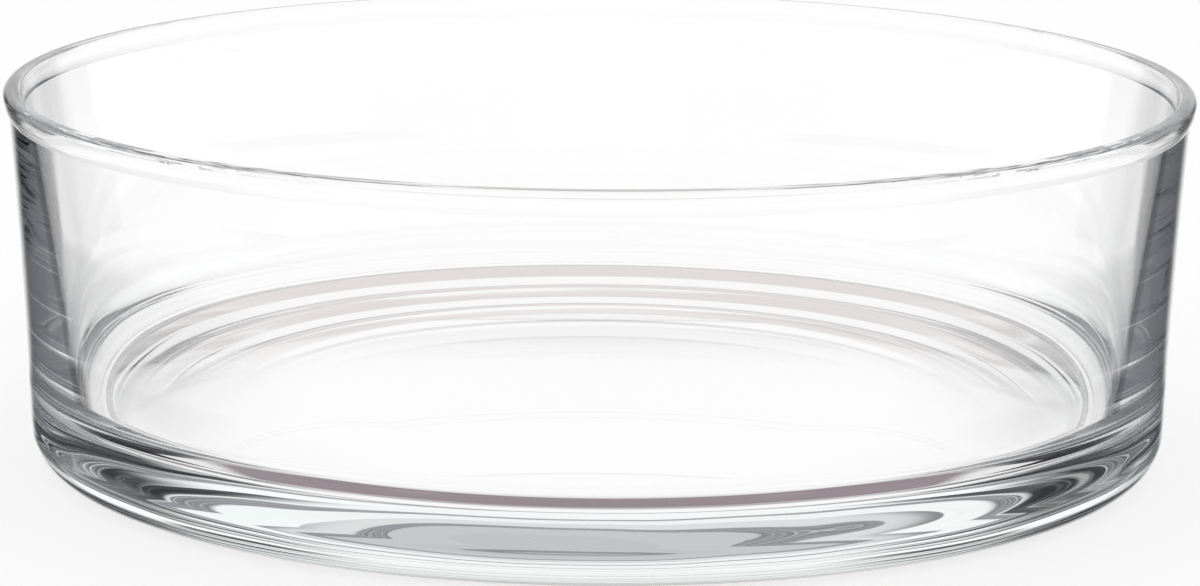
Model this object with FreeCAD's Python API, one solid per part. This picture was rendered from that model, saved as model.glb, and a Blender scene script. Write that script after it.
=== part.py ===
import FreeCAD, Part
import math
import os

# Floating candle bowl: one wide, low bowl of clear pressed glass.
#
# Lengths are in millimetres and angles in degrees. +Z is up, the bowl stands
# on z = 0 and its axis is the Z axis. The whole bowl is one turned outline:
# hollow underside, foot ring, heel, flaring wall, rounded rim band, tapered
# inside and flat floor.

# Overall size
BOWL_HEIGHT = 60.0          # table to the top of the rim
RIM_RADIUS = 94.0           # widest point, on the rim band

# Rim band, which stands a little proud of the wall
BAND_HEIGHT = 4.0           # top of the rim to the band's lower edge
BAND_OVERHANG = 0.95        # how far the band stands out past the wall
RIM_OUTER_ROUND = 1.2       # fire-polished outer edge of the top face
RIM_INNER_ROUND = 0.9       # fire-polished inner edge of the top face
RIM_WALL = 3.0              # band's widest point to the inside of the mouth

# Outside of the wall: it flares more towards the rim
OUTER_LEAN_LOW = 1.8        # lean from upright just above the heel
OUTER_LEAN_HIGH = 4.8       # lean from upright just under the band

# Inside of the bowl
INNER_LEAN = 7.5            # taper of the inside, which thickens the wall downwards
CORNER_RADIUS = 6.8         # rounded corner between the wall and the floor
FLOOR_HEIGHT = 10.5         # table to the top of the floor

# Foot ring
HEEL_RADIUS = 6.4           # rounded edge between the wall and the foot
BEARING_WIDTH = 1.6         # flat ring that the bowl stands on
STEP_LEAN = 60.0            # steepest slope of the step inside the foot ring
STEP_LOW_ROUND = 2.5        # round from the flat ring up into the step
STEP_HIGH_ROUND = 0.6       # round from the step into the hollow

# Hollow underside, a shallow dome whose slope grows towards the foot ring
HOLLOW_EDGE_LEAN = 8.4      # slope where the dome meets the step
HOLLOW_CROWN_LEAN = 1.7     # slope where the flatter crown begins
HOLLOW_CROWN_RADIUS = 45.0  # distance of that place from the axis


def point(radius, height):
    """A point of the outline, which lies in the XZ plane."""
    return FreeCAD.Vector(radius, 0, height)


def line(start, end):
    return Part.LineSegment(start, end).toShape()


def arc(centre, radius, start_angle, end_angle):
    """An arc about a centre, from one angle to another, anticlockwise from +X."""
    middle_angle = (start_angle + end_angle) / 2
    spots = []
    for angle in (start_angle, middle_angle, end_angle):
        turn = math.radians(angle)
        spots.append(centre + point(radius * math.cos(turn), radius * math.sin(turn)))
    return Part.Arc(*spots).toShape()


def bowed_line(start, end, bow):
    """A shallow arc between two points, set off to the left of the way by bow."""
    way = end - start
    side = point(-way.z, way.x)
    side.normalize()
    middle = (start + end) * 0.5 + side * bow
    return Part.Arc(start, middle, end).toShape()


def start_of(edge):
    return edge.valueAt(edge.FirstParameter)


def end_of(edge):
    return edge.valueAt(edge.LastParameter)


def outer_edges():
    """Heel, outer wall and rim band, from the foot up to the rim's top face."""
    lean_low = math.radians(OUTER_LEAN_LOW)
    lean_high = math.radians(OUTER_LEAN_HIGH)
    neck = point(RIM_RADIUS - BAND_OVERHANG, BOWL_HEIGHT - BAND_HEIGHT)
    wall_low_height = HEEL_RADIUS * (1 - math.sin(lean_low))
    wall_rise = neck.z - wall_low_height
    wall_low_radius = neck.x - wall_rise * math.tan((lean_low + lean_high) / 2)

    heel_centre = point(wall_low_radius - HEEL_RADIUS * math.cos(lean_low), HEEL_RADIUS)
    heel = arc(heel_centre, HEEL_RADIUS, -90, -OUTER_LEAN_LOW)

    wall_low = point(wall_low_radius, wall_low_height)
    chord = (neck - wall_low).Length
    bow = chord / 2 * math.tan((lean_high - lean_low) / 4)
    wall = bowed_line(wall_low, neck, bow)

    # The band's lower face is an arc that is upright at the widest point.
    face_rise = BAND_HEIGHT - RIM_OUTER_ROUND
    face_radius = (BAND_OVERHANG ** 2 + face_rise ** 2) / (2 * BAND_OVERHANG)
    face_centre = point(RIM_RADIUS - face_radius, BOWL_HEIGHT - RIM_OUTER_ROUND)
    face_turn = math.degrees(math.asin(face_rise / face_radius))
    band_face = arc(face_centre, face_radius, -face_turn, 0)

    round_centre = point(RIM_RADIUS - RIM_OUTER_ROUND, BOWL_HEIGHT - RIM_OUTER_ROUND)
    outer_round = arc(round_centre, RIM_OUTER_ROUND, 0, 90)
    return [heel, wall, band_face, outer_round]


def inner_edges():
    """Inner edge of the rim, tapered inside and rounded corner, down to the floor."""
    lean = math.radians(INNER_LEAN)
    lip_centre = point(RIM_RADIUS - RIM_WALL + RIM_INNER_ROUND, BOWL_HEIGHT - RIM_INNER_ROUND)
    lip = arc(lip_centre, RIM_INNER_ROUND, 90, 180 - INNER_LEAN)
    lip_end = end_of(lip)

    corner_top_height = FLOOR_HEIGHT + CORNER_RADIUS * (1 - math.sin(lean))
    corner_top_radius = lip_end.x - (lip_end.z - corner_top_height) * math.tan(lean)
    corner_centre = point(
        corner_top_radius - CORNER_RADIUS * math.cos(lean), FLOOR_HEIGHT + CORNER_RADIUS
    )
    corner = arc(corner_centre, CORNER_RADIUS, -INNER_LEAN, -90)
    return [lip, line(lip_end, start_of(corner)), corner]


def slope_point(centre, radius, lean):
    """Point on top of a circle where the surface falls outwards by a lean."""
    turn = math.radians(lean)
    return centre + point(radius * math.sin(turn), radius * math.cos(turn))


def slope_arc(centre, radius, high_lean, low_lean):
    """Top of a circle between two slopes, from the middle of the bowl outwards."""
    return arc(centre, radius, 90 - high_lean, 90 - low_lean)


def underside_edges(foot_radius):
    """Crown and flank of the hollow, its step and the flat ring, from the axis outwards."""
    step = math.radians(STEP_LEAN)
    edge = math.radians(HOLLOW_EDGE_LEAN)
    crown = math.radians(HOLLOW_CROWN_LEAN)

    # Each arc is tangent to the next one. They are placed from the ring inwards.
    ring_inner = point(foot_radius - BEARING_WIDTH, 0)
    low_centre = ring_inner + point(0, STEP_LOW_ROUND)
    low_round = arc(low_centre, STEP_LOW_ROUND, -90 - STEP_LEAN, -90)

    step_middle = start_of(low_round)
    high_centre = step_middle - point(
        STEP_HIGH_ROUND * math.sin(step), STEP_HIGH_ROUND * math.cos(step)
    )
    high_round = slope_arc(high_centre, STEP_HIGH_ROUND, HOLLOW_EDGE_LEAN, STEP_LEAN)

    hollow_edge = slope_point(high_centre, STEP_HIGH_ROUND, HOLLOW_EDGE_LEAN)
    flank_radius = (hollow_edge.x - HOLLOW_CROWN_RADIUS) / (math.sin(edge) - math.sin(crown))
    flank_centre = hollow_edge - point(flank_radius * math.sin(edge), flank_radius * math.cos(edge))
    flank = slope_arc(flank_centre, flank_radius, HOLLOW_CROWN_LEAN, HOLLOW_EDGE_LEAN)

    crown_edge = slope_point(flank_centre, flank_radius, HOLLOW_CROWN_LEAN)
    crown_radius = HOLLOW_CROWN_RADIUS / math.sin(crown)
    crown_centre = point(0, crown_edge.z - crown_radius * math.cos(crown))
    crown_top = slope_arc(crown_centre, crown_radius, 0, HOLLOW_CROWN_LEAN)
    return [crown_top, flank, high_round, low_round, line(ring_inner, point(foot_radius, 0))]


def glass_bowl():
    """The whole bowl, turned about the Z axis."""
    outside = outer_edges()
    inside = inner_edges()
    foot_radius = start_of(outside[0]).x
    underside = underside_edges(foot_radius)
    rim_top = line(end_of(outside[-1]), start_of(inside[0]))
    floor = line(end_of(inside[-1]), point(0, FLOOR_HEIGHT))
    middle = line(point(0, FLOOR_HEIGHT), start_of(underside[0]))
    edges = underside + outside + [rim_top] + inside + [floor, middle]
    outline = Part.Face(Part.Wire(edges))
    return outline.revolve(point(0, 0), FreeCAD.Vector(0, 0, 1), 360)


os.makedirs("parts", exist_ok=True)
bowl = glass_bowl()
bowl.exportStep("parts/glass_bowl.step")
print("glass_bowl", bowl.ShapeType, "valid", bowl.isValid(), "volume", round(bowl.Volume, 1))
print("box", bowl.BoundBox)
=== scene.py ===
# %% [markdown]
# # A floating candle bowl in clear pressed glass
#
# The object is one piece: a wide, low bowl, 188 mm across and 60 mm high, pressed from a single gob of
# clear glass. It has a thick base, a wall that leans out and grows thinner towards the mouth, and a
# rounded band round the rim. Glass has no colour or pattern of its own to paint, so nearly all that the
# eye reads is light that the shape bends. That makes the outline the real work of this lesson: where a
# radius is wrong by a millimetre, a bright line lands in the wrong place.

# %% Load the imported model
import math

import bpy
from mathutils import Matrix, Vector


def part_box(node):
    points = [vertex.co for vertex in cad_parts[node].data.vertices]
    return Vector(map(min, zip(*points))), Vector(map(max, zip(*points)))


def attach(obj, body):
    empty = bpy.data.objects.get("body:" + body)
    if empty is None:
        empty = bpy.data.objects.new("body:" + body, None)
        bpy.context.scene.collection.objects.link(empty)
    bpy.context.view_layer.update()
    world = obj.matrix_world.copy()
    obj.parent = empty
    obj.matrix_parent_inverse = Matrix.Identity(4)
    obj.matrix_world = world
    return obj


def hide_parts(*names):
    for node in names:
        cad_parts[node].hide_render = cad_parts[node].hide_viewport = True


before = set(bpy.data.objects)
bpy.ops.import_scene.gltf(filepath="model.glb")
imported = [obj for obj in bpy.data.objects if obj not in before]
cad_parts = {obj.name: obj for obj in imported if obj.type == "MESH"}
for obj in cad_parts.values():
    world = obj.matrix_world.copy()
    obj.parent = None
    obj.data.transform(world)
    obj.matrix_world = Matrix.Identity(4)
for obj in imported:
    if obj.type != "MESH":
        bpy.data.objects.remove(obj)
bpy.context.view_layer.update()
print("packed nodes:", sorted(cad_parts))

# %% [markdown]
# ## Units and the overall size
#
# Blender works in metres and a glass maker in millimetres. Sizes are written in millimetres here, and MM
# turns them into metres where Blender needs them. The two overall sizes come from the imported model, so
# that the bowl can't drift away from it.

# %% Overall size
MM = 0.001
_, bowl_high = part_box("glass_bowl")
RIM_RADIUS = round(bowl_high.x / MM, 2)
BOWL_HEIGHT = round(bowl_high.z / MM, 2)
print("bowl:", 2 * RIM_RADIUS, "mm across,", BOWL_HEIGHT, "mm high")


# %% [markdown]
# ## A pen that draws the outline
#
# A round glass can be shaped from a cylinder by insets and bevels, or turned from its half section, as a
# mould is turned on a lathe. Turning is the better way here, because each radius of the mould is then
# an exact arc. The half section is drawn in edit mode: one vertex is the pen, an extrude draws a
# straight stretch, and a spin of that one vertex draws an arc about a centre.

# %% The pen
pen = {"x": 0.0, "z": 0.0}


def put_pen_down(x, z):
    """Makes a mesh of one vertex in the XZ plane, and stays in edit mode."""
    bpy.ops.object.select_all(action="DESELECT")
    bpy.ops.mesh.primitive_plane_add(size=MM, location=(0, 0, 0))
    outline = bpy.context.object
    bpy.ops.object.mode_set(mode="EDIT")
    bpy.ops.mesh.select_all(action="SELECT")
    bpy.ops.mesh.merge(type="CENTER")
    bpy.ops.transform.translate(value=(x * MM, 0, z * MM))
    pen.update(x=x, z=z)
    return outline


def draw_straight(x, z, stretches=1):
    """Extrudes the pen's vertex to a point, in even stretches."""
    step_x = (x - pen["x"]) / stretches
    step_z = (z - pen["z"]) / stretches
    for _ in range(stretches):
        move = {"value": (step_x * MM, 0, step_z * MM)}
        bpy.ops.mesh.extrude_region_move(TRANSFORM_OT_translate=move)
    pen.update(x=x, z=z)


def draw_arc(centre_x, centre_z, turn, steps):
    """Spins the pen's vertex about a centre. A positive turn is anticlockwise, seen from the front."""
    angle = math.radians(turn)
    bpy.ops.mesh.spin(
        steps=steps, angle=angle, center=(centre_x * MM, 0, centre_z * MM), axis=(0, 1, 0)
    )
    arm_x = pen["x"] - centre_x
    arm_z = pen["z"] - centre_z
    pen["x"] = centre_x + arm_x * math.cos(angle) - arm_z * math.sin(angle)
    pen["z"] = centre_z + arm_x * math.sin(angle) + arm_z * math.cos(angle)


# %% [markdown]
# ## Where the foot is
#
# The outline is drawn from the middle of the underside, but its sizes start at the rim, where the packed
# model gives them. A pressed wall leans out so that it leaves its mould, and this one leans more towards
# the rim. Below it the heel's big round ends at the flat ring that the bowl stands on. So the ring's
# place is worked out from the rim down, and isn't typed.

# %% Wall, heel and ring values
BAND_HEIGHT = 4.0
BAND_OVERHANG = 0.95
OUTER_LEAN_HIGH = 4.8
OUTER_LEAN_LOW = 1.8
HEEL_RADIUS = 6.4
BEARING_WIDTH = 1.6

lean_low = math.radians(OUTER_LEAN_LOW)
lean_high = math.radians(OUTER_LEAN_HIGH)
neck_x = RIM_RADIUS - BAND_OVERHANG
neck_z = BOWL_HEIGHT - BAND_HEIGHT
wall_low_z = HEEL_RADIUS * (1 - math.sin(lean_low))
wall_low_x = neck_x - (neck_z - wall_low_z) * math.tan((lean_low + lean_high) / 2)
foot_x = wall_low_x - HEEL_RADIUS * math.cos(lean_low)
ring_x = foot_x - BEARING_WIDTH
print("bearing ring from", round(ring_x, 2), "to", round(foot_x, 2), "mm")

# %% [markdown]
# ## The hollow underside
#
# Inside the ring a short step rises to a shallow dome, so that the bowl doesn't rock. The dome matters to
# the eye as well. It leans by more and more towards the ring, and there it turns light back inside the
# base. That makes the three grey rings behind the far edge of the floor. One arc can't do it, so the dome
# is a flat crown and a steeper flank. They are worked out from the ring inwards, because each arc is
# tangent to the one before, and drawn from the middle outwards.

# %% Arcs of the underside, from the ring inwards
STEP_LEAN = 60.0
STEP_LOW_ROUND = 2.5
STEP_HIGH_ROUND = 0.6
HOLLOW_EDGE_LEAN = 8.4
HOLLOW_CROWN_LEAN = 1.7
HOLLOW_CROWN_RADIUS = 45.0

step = math.radians(STEP_LEAN)
edge = math.radians(HOLLOW_EDGE_LEAN)
crown = math.radians(HOLLOW_CROWN_LEAN)

high_centre_x = ring_x - (STEP_LOW_ROUND + STEP_HIGH_ROUND) * math.sin(step)
high_centre_z = STEP_LOW_ROUND - (STEP_LOW_ROUND + STEP_HIGH_ROUND) * math.cos(step)
edge_x = high_centre_x + STEP_HIGH_ROUND * math.sin(edge)
edge_z = high_centre_z + STEP_HIGH_ROUND * math.cos(edge)
flank_radius = (edge_x - HOLLOW_CROWN_RADIUS) / (math.sin(edge) - math.sin(crown))
flank_centre_x = edge_x - flank_radius * math.sin(edge)
flank_centre_z = edge_z - flank_radius * math.cos(edge)
crown_radius = HOLLOW_CROWN_RADIUS / math.sin(crown)
crown_centre_z = flank_centre_z + (flank_radius - crown_radius) * math.cos(crown)
hollow_rise = crown_centre_z + crown_radius
print("the hollow rises", round(hollow_rise, 2), "mm in the middle and", round(edge_z, 2), "at its edge")

# %% [markdown]
# The pen now draws these arcs. Each gets as many steps as its bend needs. The dome is nearly flat, but
# light that skims it would show the corners of a coarse arc, so the flank has a dozen steps.

# %% Draw the underside
CROWN_STEPS = 6
FLANK_STEPS = 12
HIGH_ROUND_STEPS = 6
LOW_ROUND_STEPS = 8

bowl = put_pen_down(0, hollow_rise)
draw_arc(0, crown_centre_z, -HOLLOW_CROWN_LEAN, CROWN_STEPS)
draw_arc(flank_centre_x, flank_centre_z, HOLLOW_CROWN_LEAN - HOLLOW_EDGE_LEAN, FLANK_STEPS)
draw_arc(high_centre_x, high_centre_z, HOLLOW_EDGE_LEAN - STEP_LEAN, HIGH_ROUND_STEPS)
draw_arc(ring_x, STEP_LOW_ROUND, STEP_LEAN, LOW_ROUND_STEPS)
draw_straight(foot_x, 0)
print("foot at", round(pen["x"], 3), round(pen["z"], 3), "mm")

# %% [markdown]
# ## The heel and the outer wall
#
# The heel is the glossy round that the eye sees as the bowl's lower edge, so it gets many short steps. The
# wall above it isn't a straight cone. Its silhouette bows by less than a millimetre, and light that runs
# up inside the wall follows that bow, so the wall is one long arc that starts tangent to the heel.

# %% Heel and outer wall
HEEL_STEPS = 24
WALL_STEPS = 10

draw_arc(foot_x, HEEL_RADIUS, 90 - OUTER_LEAN_LOW, HEEL_STEPS)
wall_chord = math.hypot(neck_x - wall_low_x, neck_z - wall_low_z)
wall_radius = wall_chord / 2 / math.sin((lean_high - lean_low) / 2)
wall_centre_x = wall_low_x + wall_radius * math.cos(lean_low)
wall_centre_z = wall_low_z - wall_radius * math.sin(lean_low)
draw_arc(wall_centre_x, wall_centre_z, OUTER_LEAN_LOW - OUTER_LEAN_HIGH, WALL_STEPS)
print("neck at", round(pen["x"], 3), round(pen["z"], 3), "mm")

# %% [markdown]
# ## The rim band
#
# The band stands out from the wall by about a millimetre. Its face is an arc that is upright at the widest
# point and meets the wall in a crease, which the eye sees as a thin line under the rim. The top is a flat
# face, and the flame has rounded both of its edges. A bevel could round them too, but a spin with its own
# radius keeps the rim's wall at its true thickness.

# %% Rim band and its two fire-polished edges
RIM_OUTER_ROUND = 1.2
RIM_INNER_ROUND = 0.9
RIM_WALL = 3.0
INNER_LEAN = 7.5
BAND_STEPS = 6
RIM_ROUND_STEPS = 8

face_rise = BAND_HEIGHT - RIM_OUTER_ROUND
face_radius = (BAND_OVERHANG ** 2 + face_rise ** 2) / (2 * BAND_OVERHANG)
face_turn = math.degrees(math.asin(face_rise / face_radius))
draw_arc(RIM_RADIUS - face_radius, BOWL_HEIGHT - RIM_OUTER_ROUND, face_turn, BAND_STEPS)
draw_arc(RIM_RADIUS - RIM_OUTER_ROUND, BOWL_HEIGHT - RIM_OUTER_ROUND, 90, RIM_ROUND_STEPS)
lip_x = RIM_RADIUS - RIM_WALL + RIM_INNER_ROUND
draw_straight(lip_x, BOWL_HEIGHT)
draw_arc(lip_x, BOWL_HEIGHT - RIM_INNER_ROUND, 90 - INNER_LEAN, RIM_ROUND_STEPS)
print("inner edge of the rim ends at", round(pen["x"], 3), round(pen["z"], 3), "mm")

# %% [markdown]
# ## The inside
#
# The plunger that pressed the inside leaned more than the mould did, so the wall grows thicker downwards.
# It ends in a rounded corner, and the floor is flat. The corner is what bends light most, so it has as
# many steps as the heel.

# %% Inner wall, corner and floor
CORNER_RADIUS = 6.8
FLOOR_HEIGHT = 10.5
CORNER_STEPS = 24
STRAIGHT_STRETCHES = 2

inner_lean = math.radians(INNER_LEAN)
corner_top_z = FLOOR_HEIGHT + CORNER_RADIUS * (1 - math.sin(inner_lean))
corner_top_x = pen["x"] - (pen["z"] - corner_top_z) * math.tan(inner_lean)
draw_straight(corner_top_x, corner_top_z, STRAIGHT_STRETCHES)
corner_x = corner_top_x - CORNER_RADIUS * math.cos(inner_lean)
draw_arc(corner_x, FLOOR_HEIGHT + CORNER_RADIUS, INNER_LEAN - 90, CORNER_STEPS)
draw_straight(0, FLOOR_HEIGHT, STRAIGHT_STRETCHES)
print("floor from the middle to", round(corner_x, 2), "mm")

# %% [markdown]
# ## Turn the outline
#
# A full turn about the axis makes the bowl. The turn ends where it began and has a point at each pole, so
# the doubles are merged first, and the normals are made to point outwards after that. Smooth shading is
# kept back from the one crease of the mould, where the band meets the wall. Weighted normals keep the
# flat floor flat right up to the rounded corner, which clear glass shows at once.

# %% Turn, merge and smooth
TURN_STEPS = 640
DOUBLES_WITHIN = 0.005
CREASE_FROM = 10
LARGE_FACES_COUNT_MOST = 100

bpy.ops.mesh.select_all(action="SELECT")
bpy.ops.mesh.spin(steps=TURN_STEPS, angle=2 * math.pi, center=(0, 0, 0), axis=(0, 0, 1))
bpy.ops.mesh.select_all(action="SELECT")
bpy.ops.mesh.remove_doubles(threshold=DOUBLES_WITHIN * MM)
bpy.ops.mesh.normals_make_consistent(inside=False)
bpy.ops.object.mode_set(mode="OBJECT")
bowl.name = "pressed_glass_bowl"
bpy.ops.object.shade_smooth_by_angle(angle=math.radians(CREASE_FROM))
even = bowl.modifiers.new("even_normals", "WEIGHTED_NORMAL")
even.keep_sharp = True
even.weight = LARGE_FACES_COUNT_MOST
bpy.ops.object.modifier_apply(modifier=even.name)
bowl_size = [round(side / MM, 2) for side in bowl.dimensions]
print(bowl.name, "has", len(bowl.data.polygons), "faces and measures", bowl_size, "mm")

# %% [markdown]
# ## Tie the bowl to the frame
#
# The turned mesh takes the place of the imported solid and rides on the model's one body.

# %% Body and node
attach(bowl, "root")
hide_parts("glass_bowl")
print(bowl.name, "stands for glass_bowl")

# %% [markdown]
# ## Materials in small steps
#
# One helper adds a node with its settings and links, and another turns a colour that is written as a
# painter writes it into the linear light that the shader works with. Its numbers are those of the sRGB
# standard.


# %% Helpers for materials
def add_node(tree, kind, inputs=None, **settings):
    """Adds a node. An input is a plain value, or an output socket to link from."""
    new = tree.nodes.new(kind)
    for name, value in settings.items():
        setattr(new, name, value)
    for name, value in (inputs or {}).items():
        if isinstance(value, bpy.types.NodeSocket):
            tree.links.new(value, new.inputs[name])
        else:
            new.inputs[name].default_value = value
    return new


def hex_colour(code):
    """An sRGB hex colour as linear RGBA."""
    channels = []
    for place in (0, 2, 4):
        share = int(code[place:place + 2], 16) / 255
        channels.append(share / 12.92 if share <= 0.04045 else ((share + 0.055) / 1.055) ** 2.4)
    return (*channels, 1.0)


def empty_material(name):
    material = bpy.data.materials.new(name)
    material.use_nodes = True
    material.node_tree.nodes.clear()
    return material


# %% [markdown]
# ## The slow waves of pressed glass
#
# Pressed glass isn't quite even, and the front of this base shows pale and dark patches that a perfect
# outline doesn't give. What makes them on the real bowl isn't known. Here a bump stands in for it: slow
# waves some 40 mm long, and a swell of about 0.4 mm where the wall meets the thick base. The swell came
# up by chance, as a side effect of fading the waves out, and was kept because the patches then look like
# the photograph's. Nothing measured shows that the real skin has it, so it isn't cut into the mesh.
#
# The noise is taken less its mean, so that it lifts nothing where it fades out. It fades out towards the
# middle, because the rings and the floor are clean in the photograph.

# %% Waves and swell
WAVE_LENGTH = 42 * MM
WAVE_STRETCH = 2.2
WAVE_SHIFT = (0.31, 0.07, 0.0)
WAVE_MEAN = 0.5
WAVE_RISE = 0.85 * MM
SWELL_SHARE = 0.5
SWELL_TOP = 13 * MM
SWELL_FADE = 6 * MM
CLEAN_MIDDLE = 72 * MM
CLEAN_FADE = 8 * MM

# A flame melts the skin smooth after pressing. The eye gets sharp reflections and no haze.
glass = empty_material("fire_polished_soda_lime_glass")
tree = glass.node_tree
place = add_node(tree, "ShaderNodeTexCoord").outputs["Object"]
stretched = add_node(tree, "ShaderNodeVectorMath", {
    0: place, 1: (1.0, 1.0, WAVE_STRETCH), 2: WAVE_SHIFT,
}, operation="MULTIPLY_ADD").outputs["Vector"]
waves = add_node(tree, "ShaderNodeTexNoise", {
    "Vector": stretched, "Scale": 1 / WAVE_LENGTH, "Detail": 1.0, "Roughness": 0.4,
})
level = add_node(tree, "ShaderNodeSeparateXYZ", {"Vector": place}).outputs["Z"]
low = add_node(tree, "ShaderNodeMapRange", {
    "Value": level, "From Min": SWELL_TOP, "From Max": SWELL_TOP - SWELL_FADE,
}, interpolation_type="SMOOTHSTEP").outputs["Result"]
distance = add_node(tree, "ShaderNodeVectorMath", {0: place}, operation="LENGTH").outputs["Value"]
near_edge = add_node(tree, "ShaderNodeMapRange", {
    "Value": distance, "From Min": CLEAN_MIDDLE, "From Max": CLEAN_MIDDLE + CLEAN_FADE,
}, interpolation_type="SMOOTHSTEP").outputs["Result"]
up_and_down = add_node(tree, "ShaderNodeMath", {
    0: waves.outputs[0], 1: WAVE_MEAN,
}, operation="SUBTRACT").outputs[0]
swell = add_node(tree, "ShaderNodeMath", {
    0: up_and_down, 1: near_edge, 2: SWELL_SHARE,
}, operation="MULTIPLY_ADD").outputs[0]
ripple = add_node(tree, "ShaderNodeMath", {0: swell, 1: low}, operation="MULTIPLY").outputs[0]
bent = add_node(tree, "ShaderNodeBump", {"Strength": 1.0, "Distance": WAVE_RISE, "Height": ripple})
print("the skin swells by", round(WAVE_RISE * SWELL_SHARE / MM, 2), "mm below", SWELL_TOP / MM, "mm")

# %% [markdown]
# ## Clear soda-lime glass
#
# Bottles, tumblers and bowls like this one are soda-lime glass. Its index is about 1.52. A thin wall has no
# colour, but a trace of iron takes a little red from light that has gone far through the base. That is a
# volume effect, so it is an absorption and not a surface colour.

# %% Glass material
GLASS_INDEX = 1.52
IRON_DENSITY = 2.0

surface = add_node(tree, "ShaderNodeBsdfPrincipled", {
    "Base Color": hex_colour("FFFFFF"),
    "Roughness": 0.0,
    "IOR": GLASS_INDEX,
    "Transmission Weight": 1.0,
    "Normal": bent.outputs["Normal"],
})
iron_trace = add_node(tree, "ShaderNodeVolumeAbsorption", {
    "Color": hex_colour("EFFFFD"), "Density": IRON_DENSITY,
})
add_node(tree, "ShaderNodeOutputMaterial", {
    "Surface": surface.outputs["BSDF"],
    "Volume": iron_trace.outputs["Volume"],
})
bowl.data.materials.append(glass)
print(glass.name, "has", len(tree.nodes), "nodes")

# %% [markdown]
# ## The studio round the glass
#
# Clear glass shows the room, so the room is made with care: a pale ceiling, white walls, a lit panel
# behind the bowl, dark flags at both sides, and a table that grows darker under the bowl. Flags are how a
# studio gives glass its dark, crisp edges. The room could be built from planes, but a colour for each
# direction does the same with no noise. A direction is two angles: its height above level, and its turn
# from the back to either side, so that left and right are alike. The photograph doesn't show its room, so
# all zones and tones were tuned until this one view of the glass looked right.
#
# The room is only for light that the glass has turned back. Light that just passes through goes to the
# white backdrop, which keeps the thin wall clear. The path's glossy depth tells them apart: it counts
# the reflections, and is 0 where there was none.

# %% Helpers for the studio
# A Mix node has sockets for numbers, vectors and colours under the same names, so the colour's sockets
# are picked by their place.
MIX_SHARE = 0
MIX_UNDER = 6
MIX_OVER = 7
MIXED_COLOUR = 2
SHARP = 0.1


def soft_zone(tree, value, start, end, blur):
    """1 where a value is between start and end, with an edge as soft as blur."""
    share = 1.0
    for edge_value, outside, inside in ((start, -blur, blur), (end, blur, -blur)):
        ramp = add_node(tree, "ShaderNodeMapRange", {
            "Value": value, "From Min": edge_value + outside, "From Max": edge_value + inside,
            "To Min": 0.0, "To Max": 1.0,
        }, interpolation_type="SMOOTHSTEP", clamp=True)
        both = add_node(tree, "ShaderNodeMath", {0: share, 1: ramp.outputs["Result"]}, operation="MULTIPLY")
        share = both.outputs[0]
    return share


def paint_zone(tree, under, colour, *shares):
    """Lays a colour over another one where all of the shares are 1."""
    share = 1.0
    for one in shares:
        share = add_node(tree, "ShaderNodeMath", {0: share, 1: one}, operation="MULTIPLY").outputs[0]
    mixer = add_node(tree, "ShaderNodeMix", {
        MIX_SHARE: share, MIX_UNDER: under, MIX_OVER: colour,
    }, data_type="RGBA")
    return mixer.outputs[MIXED_COLOUR]


def degrees_from_back(tree, parts):
    """Turn about the bowl's axis to either side of the back, from 0 to 180 degrees."""
    angle = add_node(tree, "ShaderNodeMath", {
        0: parts.outputs["X"], 1: parts.outputs["Y"],
    }, operation="ARCTAN2").outputs[0]
    size = add_node(tree, "ShaderNodeMath", {0: angle}, operation="ABSOLUTE").outputs[0]
    return add_node(tree, "ShaderNodeMath", {0: size, 1: 180 / math.pi}, operation="MULTIPLY").outputs[0]


def turned_back(tree, path):
    """1 on a path that the glass has reflected at least once, and 0 on any other."""
    depth = path.outputs["Glossy Depth"]
    return add_node(tree, "ShaderNodeMath", {0: depth, 1: 1.0}, operation="MINIMUM").outputs[0]


def turned_back_once(tree, path):
    """1 on a path that the glass has reflected just once, and 0 on any other."""
    once = 1
    margin = 0.5
    return soft_zone(tree, path.outputs["Glossy Depth"], once - margin, once + margin, SHARP)


# %% [markdown]
# ### Directions as angles
#
# On a world, the texture coordinate gives the direction in which light comes in, as a vector of length 1.
# An arcsine of its Z turns it into the height above level, and an arctangent of X and Y into the turn.
# Height and turn in degrees are what a photographer would write down for a lamp.

# %% Directions and paths
studio = bpy.data.worlds.new("studio")
bpy.context.scene.world = studio
studio.use_nodes = True
tree = studio.node_tree
tree.nodes.clear()
direction = add_node(tree, "ShaderNodeTexCoord").outputs["Generated"]
parts = add_node(tree, "ShaderNodeSeparateXYZ", {"Vector": direction})
away = degrees_from_back(tree, parts)
tilt = add_node(tree, "ShaderNodeMath", {0: parts.outputs["Z"]}, operation="ARCSINE").outputs[0]
height = add_node(tree, "ShaderNodeMath", {0: tilt, 1: 180 / math.pi}, operation="MULTIPLY").outputs[0]
path = add_node(tree, "ShaderNodeLightPath")
print("directions use", len(tree.nodes), "nodes")

# %% [markdown]
# ### Ceiling, walls, flags and panel
#
# The room is painted as a picture is, from the back to the front. Each coat covers a zone of directions
# with soft edges, because a real panel is out of focus in curved glass. The flags lean: high up they
# reach far round to the sides, and lower down they end nearer to the bowl's back. The lit panel covers
# them behind the bowl, and lights the middle of the base.

# %% Paint the room
WHITE = hex_colour("FFFFFF")
CEILING = hex_colour("D4CAC9")
FLAG = hex_colour("2C2D2F")
BACK_PANEL = hex_colour("FAF9F9")

# No height and no turn is as low as this, so a zone that starts here is open at that end.
NO_START = -120
CEILING_FROM = 32
CEILING_BLUR = 8
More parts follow.
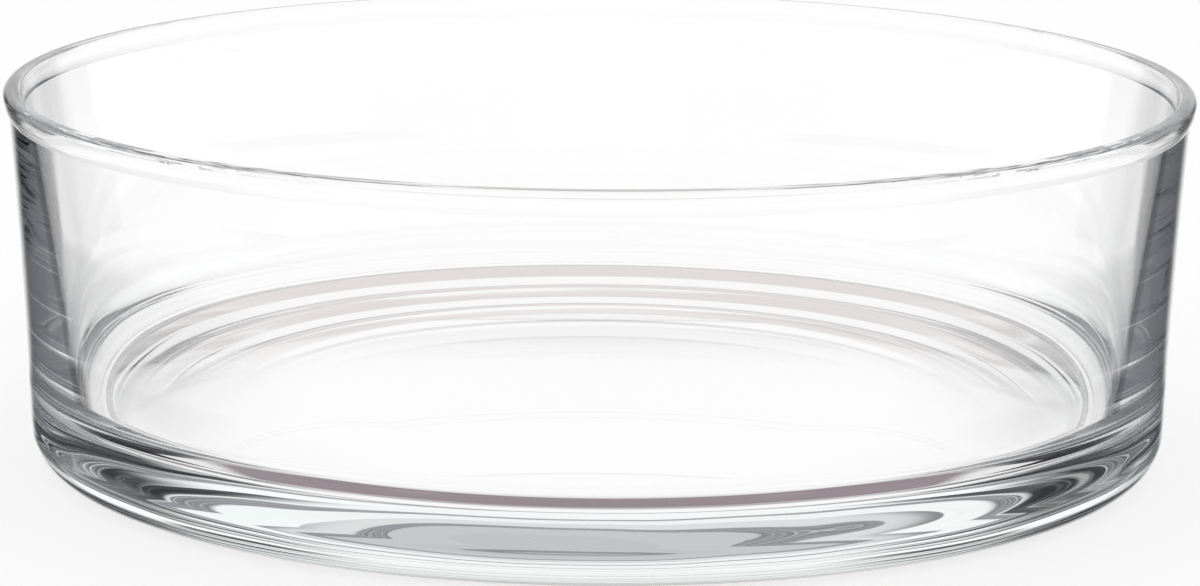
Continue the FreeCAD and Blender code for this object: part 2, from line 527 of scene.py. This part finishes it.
# Each flag has its lowest and highest height, and its nearest and farthest turn from the back.
FLAGS = ((-1, 29, 32, 100), (-21, 4, 17, 70), (-45, -16, 17, 46))
FLAG_HEIGHT_BLUR = 6
FLAG_TURN_BLUR = 7
PANEL_TOP = 45
PANEL_TOP_BLUR = 10
PANEL_HALF_TURN = 15
PANEL_SIDE_BLUR = 6

walls = soft_zone(tree, height, NO_START, CEILING_FROM, CEILING_BLUR)
room = paint_zone(tree, CEILING, WHITE, walls)
for lowest, highest, nearest, farthest in FLAGS:
    between_heights = soft_zone(tree, height, lowest, highest, FLAG_HEIGHT_BLUR)
    between_turns = soft_zone(tree, away, nearest, farthest, FLAG_TURN_BLUR)
    room = paint_zone(tree, room, FLAG, between_heights, between_turns)
below_top = soft_zone(tree, height, NO_START, PANEL_TOP, PANEL_TOP_BLUR)
behind = soft_zone(tree, away, NO_START, PANEL_HALF_TURN, PANEL_SIDE_BLUR)
room = paint_zone(tree, room, BACK_PANEL, below_top, behind)
print(len(FLAGS), "flags to each side, and a panel", 2 * PANEL_HALF_TURN, "degrees wide")

# %% [markdown]
# ### The table
#
# Light that leaves the glass steeply downwards meets the table close to the bowl, where little light
# falls. So the table is a warm grey beside the bowl and darker under it. To both sides of the back,
# where the lowest flags come down to the table, that darker tone starts higher.

# %% Paint the table
BESIDE_THE_BOWL = hex_colour("C4C0BE")
UNDER_THE_BOWL = hex_colour("8C7E84")

BESIDE_BELOW = -54
UNDER_BELOW = -70
TABLE_BLUR = 5
UNDER_SIDES_BELOW = -47
UNDER_SIDES_BLUR = 3
UNDER_SIDES_TURN = (30, 80)
UNDER_SIDES_TURN_BLUR = 12

beside = soft_zone(tree, height, NO_START, BESIDE_BELOW, TABLE_BLUR)
room = paint_zone(tree, room, BESIDE_THE_BOWL, beside)
under = soft_zone(tree, height, NO_START, UNDER_BELOW, TABLE_BLUR)
room = paint_zone(tree, room, UNDER_THE_BOWL, under)
under_sides = soft_zone(tree, height, NO_START, UNDER_SIDES_BELOW, UNDER_SIDES_BLUR)
at_sides = soft_zone(tree, away, *UNDER_SIDES_TURN, UNDER_SIDES_TURN_BLUR)
room = paint_zone(tree, room, UNDER_THE_BOWL, under_sides, at_sides)
print("table tones from", BESIDE_BELOW, "and", UNDER_BELOW, "degrees down")

# %% [markdown]
# ### Light that was reflected once
#
# No one tone for a direction suited both the base and the edges of the wall. A painted direction has no
# distance, while a real flag covers other directions from the wall's outside than from its base, which may
# be the reason. So light that was reflected only once gets tones of its own: white beside the flags, and
# a strip of pale table lower down. They draw the crisp light lines along the edges of the wall. This is
# a stand-in, and no real room does it.

# %% Paint what a single reflection meets
STRIP = hex_colour("F0EEEF")

STRIP_HEIGHT = (-45, -15)
STRIP_TURN = (38, 60)
OPEN_SIDE_HEIGHT = (-45, 34)
OPEN_SIDE_TURN = (49, 125)
OPEN_ABOVE_HEIGHT = (-9, 34)
OPEN_ABOVE_TURN = (34, 125)
CRISP_HEIGHT = 2
CRISP_TURN = 1
OPEN_ABOVE_BLUR = 3

once = turned_back_once(tree, path)
strip_heights = soft_zone(tree, height, *STRIP_HEIGHT, CRISP_HEIGHT)
strip_turns = soft_zone(tree, away, *STRIP_TURN, CRISP_TURN)
room = paint_zone(tree, room, STRIP, once, strip_heights, strip_turns)
open_heights = soft_zone(tree, height, *OPEN_SIDE_HEIGHT, CRISP_HEIGHT)
open_turns = soft_zone(tree, away, *OPEN_SIDE_TURN, CRISP_TURN)
room = paint_zone(tree, room, WHITE, once, open_heights, open_turns)
above_heights = soft_zone(tree, height, *OPEN_ABOVE_HEIGHT, OPEN_ABOVE_BLUR)
above_turns = soft_zone(tree, away, *OPEN_ABOVE_TURN, OPEN_ABOVE_BLUR)
room = paint_zone(tree, room, WHITE, once, above_heights, above_turns)
print("single reflections see white from", OPEN_SIDE_TURN[0], "degrees round")

# %% [markdown]
# ### Light that was reflected many times
#
# At both sides the eye looks along the wall, and light runs round inside it as in a glass fibre. After
# many reflections, neighbouring paths come out in quite different directions. Painted by direction, they
# would be a mess of specks, where the photograph has smooth bands. So such a path gets an even grey, a
# darker one the farther it went. This too is a stand-in, with its greys matched to the photograph.

# %% Paint what many reflections meet
SCRAMBLED = hex_colour("B4B2B3")
FAR_SCRAMBLED = hex_colour("838187")

# No turn and no count is as high as this, so a zone that ends here is open at that end.
NO_END = 999
SCRAMBLED_FROM = 8
SCRAMBLED_BLUR = 1.5
SCRAMBLED_SHARE = 0.8
FAR_TURN_FROM = 44
FAR_TURN_BLUR = 6
FAR_SCRAMBLED_FROM = 14
FAR_SCRAMBLED_BLUR = 3

depth = path.outputs["Glossy Depth"]
often = soft_zone(tree, depth, SCRAMBLED_FROM, NO_END, SCRAMBLED_BLUR)
room = paint_zone(tree, room, SCRAMBLED, SCRAMBLED_SHARE, often)
far_round = soft_zone(tree, away, FAR_TURN_FROM, NO_END, FAR_TURN_BLUR)
room = paint_zone(tree, room, FAR_SCRAMBLED, SCRAMBLED_SHARE, often, far_round)
most_often = soft_zone(tree, depth, FAR_SCRAMBLED_FROM, NO_END, FAR_SCRAMBLED_BLUR)
room = paint_zone(tree, room, FAR_SCRAMBLED, most_often)
print("even greys from", SCRAMBLED_FROM, "and", FAR_SCRAMBLED_FROM, "reflections")

# %% [markdown]
# ### White backdrop
#
# The painted room is kept for light that was turned back. All other light sees plain white of strength 1,
# which is the white of the photograph's background.

# %% Backdrop and room together
seen = paint_zone(tree, WHITE, room, turned_back(tree, path))
backdrop = add_node(tree, "ShaderNodeBackground", {"Color": seen, "Strength": 1.0})
add_node(tree, "ShaderNodeOutputWorld", {"Surface": backdrop.outputs["Background"]})
print("the studio has", len(tree.nodes), "nodes")

# %% [markdown]
# ## The paper under the bowl
#
# The bowl stands on matt white paper that runs on without an edge. The paper has to stay as white as the
# backdrop and still hold the bowl's soft shadow, so to the camera it is part lit paper and part plain
# white. Seen through the glass it is plain white. Any other light meets lit paper.

# %% Floor
FLOOR_RADIUS = 6.0
FLOOR_CORNERS = 96

bpy.ops.object.select_all(action="DESELECT")
bpy.ops.mesh.primitive_circle_add(
    vertices=FLOOR_CORNERS, radius=FLOOR_RADIUS, fill_type="NGON", location=(0, 0, 0)
)
floor = bpy.context.object
floor.name = "studio_floor"
print(floor.name, "is", round(floor.dimensions.x, 2), "m across")

# %% [markdown]
# The share of lit paper sets how dark the shadow is. A mix for each kind of path picks what it meets, and
# each mix takes the one before as its other case.

# %% Paper outside the glass and through it
SHADOW_SHARE = 0.3

# Uncoated paper scatters light evenly. The eye gets a flat white with no sheen.
paper = empty_material("matt_white_paper")
tree = paper.node_tree
path = add_node(tree, "ShaderNodeLightPath")
lit_paper = add_node(tree, "ShaderNodeBsdfDiffuse", {"Color": hex_colour("FBFBFB")})
plain_white = add_node(tree, "ShaderNodeEmission", {"Color": WHITE})
to_the_eye = add_node(tree, "ShaderNodeMixShader", {
    0: SHADOW_SHARE, 1: plain_white.outputs["Emission"], 2: lit_paper.outputs["BSDF"],
})
outside_glass = add_node(tree, "ShaderNodeMixShader", {
    0: path.outputs["Is Camera Ray"], 1: lit_paper.outputs["BSDF"], 2: to_the_eye.outputs["Shader"],
})
through_glass = add_node(tree, "ShaderNodeMixShader", {
    0: path.outputs["Is Transmission Ray"],
    1: outside_glass.outputs["Shader"],
    2: plain_white.outputs["Emission"],
})
print("the shadow shows by a share of", SHADOW_SHARE)

# %% [markdown]
# ### The table in the glass
#
# To light that the glass has turned back, the paper is see-through, because the lower half of the painted
# room holds the table's tones for every direction already. The one thing that needs a place is the shade
# that the bowl casts at both of its sides. It is a dark ring on the paper, cut off towards the back and
# the front. Only light that was reflected once meets it, and it darkens the crescents at both ends of
# the base. The ring starts at some distance, so that the white lines between the grey rings stay clean.

# %% Ring of shade on the paper
FOOT_SHADE = hex_colour("3A3B3E")

SHADE_FROM = 110 * MM
SHADE_TO = 150 * MM
SHADE_BLUR = 5 * MM
SHADE_TURN = (66, 125)
SHADE_TURN_BLUR = 8

place = add_node(tree, "ShaderNodeTexCoord").outputs["Object"]
parts = add_node(tree, "ShaderNodeSeparateXYZ", {"Vector": place})
distance = add_node(tree, "ShaderNodeVectorMath", {0: place}, operation="LENGTH").outputs["Value"]
ring = add_node(tree, "ShaderNodeMath", {
    0: soft_zone(tree, distance, SHADE_FROM, SHADE_TO, SHADE_BLUR),
    1: soft_zone(tree, degrees_from_back(tree, parts), *SHADE_TURN, SHADE_TURN_BLUR),
}, operation="MULTIPLY").outputs[0]
shade = add_node(tree, "ShaderNodeMath", {
    0: ring, 1: turned_back_once(tree, path),
}, operation="MULTIPLY").outputs[0]
see_through = add_node(tree, "ShaderNodeBsdfTransparent")
foot_shade = add_node(tree, "ShaderNodeEmission", {"Color": FOOT_SHADE})
table_in_glass = add_node(tree, "ShaderNodeMixShader", {
    0: shade, 1: see_through.outputs["BSDF"], 2: foot_shade.outputs["Emission"],
})
seen = add_node(tree, "ShaderNodeMixShader", {
    0: turned_back(tree, path),
    1: through_glass.outputs["Shader"],
    2: table_in_glass.outputs["Shader"],
})
add_node(tree, "ShaderNodeOutputMaterial", {"Surface": seen.outputs["Shader"]})
floor.data.materials.append(paper)
print(paper.name, "has", len(tree.nodes), "nodes")

# %% [markdown]
# ## The camera
#
# The photograph's view was found by fitting the rim, the wall and the base to their outlines: a long
# lens, a little above the rim, tipped down by 11.8 degrees and rolled by half a degree. A constraint could
# aim the camera, but it couldn't roll it or let it look past the bowl's middle as the photograph does, so
# the three turns are set one by one.

# %% Camera
SENSOR_WIDTH = 36.0
FOCAL_LENGTH = 161.48
CAMERA_BACK = 0.84064
CAMERA_UP = 0.20113
TURN_LEFT = -0.0192
TIP_DOWN = 11.7806
ROLL = 0.4881

lens = bpy.data.cameras.new("camera")
camera = bpy.data.objects.new("camera", lens)
bpy.context.scene.collection.objects.link(camera)
bpy.context.scene.camera = camera
lens.sensor_width = SENSOR_WIDTH
lens.lens = FOCAL_LENGTH
camera.location = (0, -CAMERA_BACK, CAMERA_UP)
yaw = Matrix.Rotation(math.radians(TURN_LEFT), 4, "Z")
pitch = Matrix.Rotation(math.radians(90 - TIP_DOWN), 4, "X")
roll = Matrix.Rotation(math.radians(ROLL), 4, "Z")
camera.rotation_euler = (yaw @ pitch @ roll).to_euler()
print("the camera is", round(math.hypot(CAMERA_BACK, CAMERA_UP), 2), "m from the foot")

# %% [markdown]
# ## Light paths
#
# Light is reflected many times inside the wall before it comes out, and each time counts as a bounce.
# With too few bounces allowed, those paths would end and leave black streaks. The clamp on indirect light
# stays off, because it would dull the bright lines of the glass.

# %% View and bounces
MOST_BOUNCES = 64

scene = bpy.context.scene
scene.view_settings.view_transform = "Standard"
scene.cycles.max_bounces = MOST_BOUNCES
scene.cycles.glossy_bounces = MOST_BOUNCES
scene.cycles.transmission_bounces = MOST_BOUNCES
scene.cycles.sample_clamp_indirect = 0
print("a path may have", MOST_BOUNCES, "bounces")
